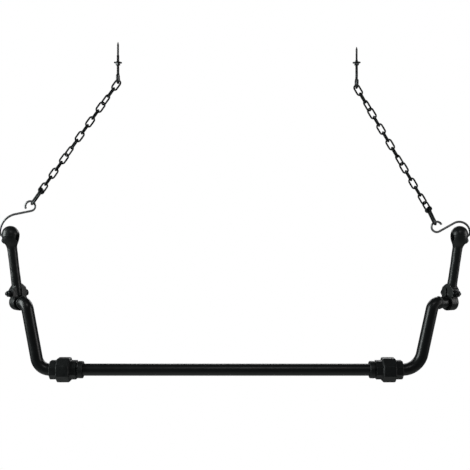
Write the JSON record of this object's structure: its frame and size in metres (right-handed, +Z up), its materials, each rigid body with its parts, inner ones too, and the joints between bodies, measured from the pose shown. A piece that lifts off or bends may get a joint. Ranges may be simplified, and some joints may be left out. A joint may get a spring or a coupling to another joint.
{
  "type": "chain-hung pipe bar rack",
  "caption": "Black iron pipe bar with unions, bent pipes and ball-ended link arms, hung by S-hooks, shackles and leaning chains from two ceiling hooks",
  "frame": {"origin": "in the ceiling plane, midway between the two balls", "axes": "+X along the bar, +Y to the back, +Z up"},
  "size_m": [1.058, 0.0714, 0.7598],
  "materials": {
    "black_pipe": "semi-gloss black lacquer over drawn steel pipe",
    "cast_iron": "black painted malleable casting, slightly grainy",
    "forged_iron": "black painted forging with worn, greenish grey highlights",
    "fastener_steel": "black painted steel",
    "gasket": "matt fibre rubber",
    "hook_steel": "bare drawn rod, dulled",
    "shackle_steel": "blackened steel with bright rubbed edges",
    "chain_steel": "blackened welded chain",
    "ceiling_steel": "blackened steel"
  },
  "bodies": {
    "ceiling": {"ceiling_hook_left": "ceiling_steel", "ceiling_hook_right": "ceiling_steel", "ceiling_nuts": "ceiling_steel", "ceiling_washers": "ceiling_steel"},
    "chain_left": {"chain_link_left_01": "chain_steel", "chain_link_left_02": "chain_steel", "chain_link_left_03": "chain_steel", "chain_link_left_04": "chain_steel", "chain_link_left_05": "chain_steel", "chain_link_left_06": "chain_steel", "chain_link_left_07": "chain_steel", "chain_link_left_08": "chain_steel", "chain_link_left_09": "chain_steel", "chain_link_left_10": "chain_steel", "chain_link_left_11": "chain_steel", "chain_link_left_12": "chain_steel", "chain_link_left_13": "chain_steel", "chain_link_left_14": "chain_steel", "chain_link_left_15": "chain_steel"},
    "shackle_left": {"shackle_bow_left": "shackle_steel", "shackle_pin_left": "shackle_steel"},
    "hook_left": {"s_hook_left": "hook_steel"},
    "chain_right": {"chain_link_right_01": "chain_steel", "chain_link_right_02": "chain_steel", "chain_link_right_03": "chain_steel", "chain_link_right_04": "chain_steel", "chain_link_right_05": "chain_steel", "chain_link_right_06": "chain_steel", "chain_link_right_07": "chain_steel", "chain_link_right_08": "chain_steel", "chain_link_right_09": "chain_steel", "chain_link_right_10": "chain_steel", "chain_link_right_11": "chain_steel", "chain_link_right_12": "chain_steel", "chain_link_right_13": "chain_steel", "chain_link_right_14": "chain_steel", "chain_link_right_15": "chain_steel"},
    "shackle_right": {"shackle_bow_right": "shackle_steel", "shackle_pin_right": "shackle_steel"},
    "hook_right": {"s_hook_right": "hook_steel"},
    "link_right_16": {"chain_link_right_16": "chain_steel"},
    "rack": {"straight_pipe": "black_pipe", "bent_pipe_left": "black_pipe", "arm_stub_left": "black_pipe", "union_tail_left": "cast_iron", "union_gasket_left": "gasket", "union_nut_left": "cast_iron", "union_head_left": "cast_iron", "link_arm_left": "forged_iron", "bent_pipe_right": "black_pipe", "arm_stub_right": "black_pipe", "union_tail_right": "cast_iron", "union_gasket_right": "gasket", "union_nut_right": "cast_iron", "union_head_right": "cast_iron", "link_arm_right": "forged_iron", "pinch_bolts": "fastener_steel", "pinch_nuts": "fastener_steel", "pinch_washers": "fastener_steel"}
  },
  "joints": [
    {"name": "swing_left_chain", "type": "hinge", "parent": "ceiling", "child": "chain_left", "pos_m": [-0.26029, 0, -0.043], "axis": [0.9998, 0, -0.0205], "range_deg": [-20, 20]},
    {"name": "swing_right_chain", "type": "hinge", "parent": "ceiling", "child": "chain_right", "pos_m": [0.27081, 0, -0.05388], "axis": [0.9998, 0, -0.0205], "range_deg": [-20, 20]},
    {"name": "swing_left_pin", "type": "hinge", "parent": "chain_left", "child": "shackle_left", "pos_m": [-0.43581, 0, -0.28998], "axis": [0.9988, 0, -0.0486], "range_deg": [-8, 8]},
    {"name": "swing_right_pin", "type": "hinge", "parent": "chain_right", "child": "shackle_right", "pos_m": [0.43484, 0, -0.33236], "axis": [0.9988, 0, -0.0486], "range_deg": [-8, 8]},
    {"name": "swing_left_bow", "type": "hinge", "parent": "shackle_left", "child": "hook_left", "pos_m": [-0.45397, 0, -0.31554], "axis": [0.9987, 0, -0.0501], "range_deg": [-8, 8]},
    {"name": "swing_right_bow", "type": "hinge", "parent": "shackle_right", "child": "hook_right", "pos_m": [0.44814, 0, -0.36076], "axis": [0.9987, 0, -0.0501], "range_deg": [-8, 8]},
    {"name": "swing_rack", "type": "hinge", "parent": "hook_left", "child": "rack", "pos_m": [-0.503, 0, -0.38701], "axis": [1, 0, 0], "range_deg": [-13, 13]},
    {"name": "twist_right_16", "type": "hinge", "parent": "chain_right", "child": "link_right_16", "pos_m": [0.43484, 0, -0.33236], "axis": [-0.5075, 0, 0.8616], "range_deg": [-5, 5]}
  ],
  "couplings": [
    {"joint": "swing_right_chain", "follows": "swing_left_chain", "ratio": 1},
    {"joint": "swing_right_pin", "follows": "swing_left_pin", "ratio": 1},
    {"joint": "swing_right_bow", "follows": "swing_left_bow", "ratio": 1}
  ]
}
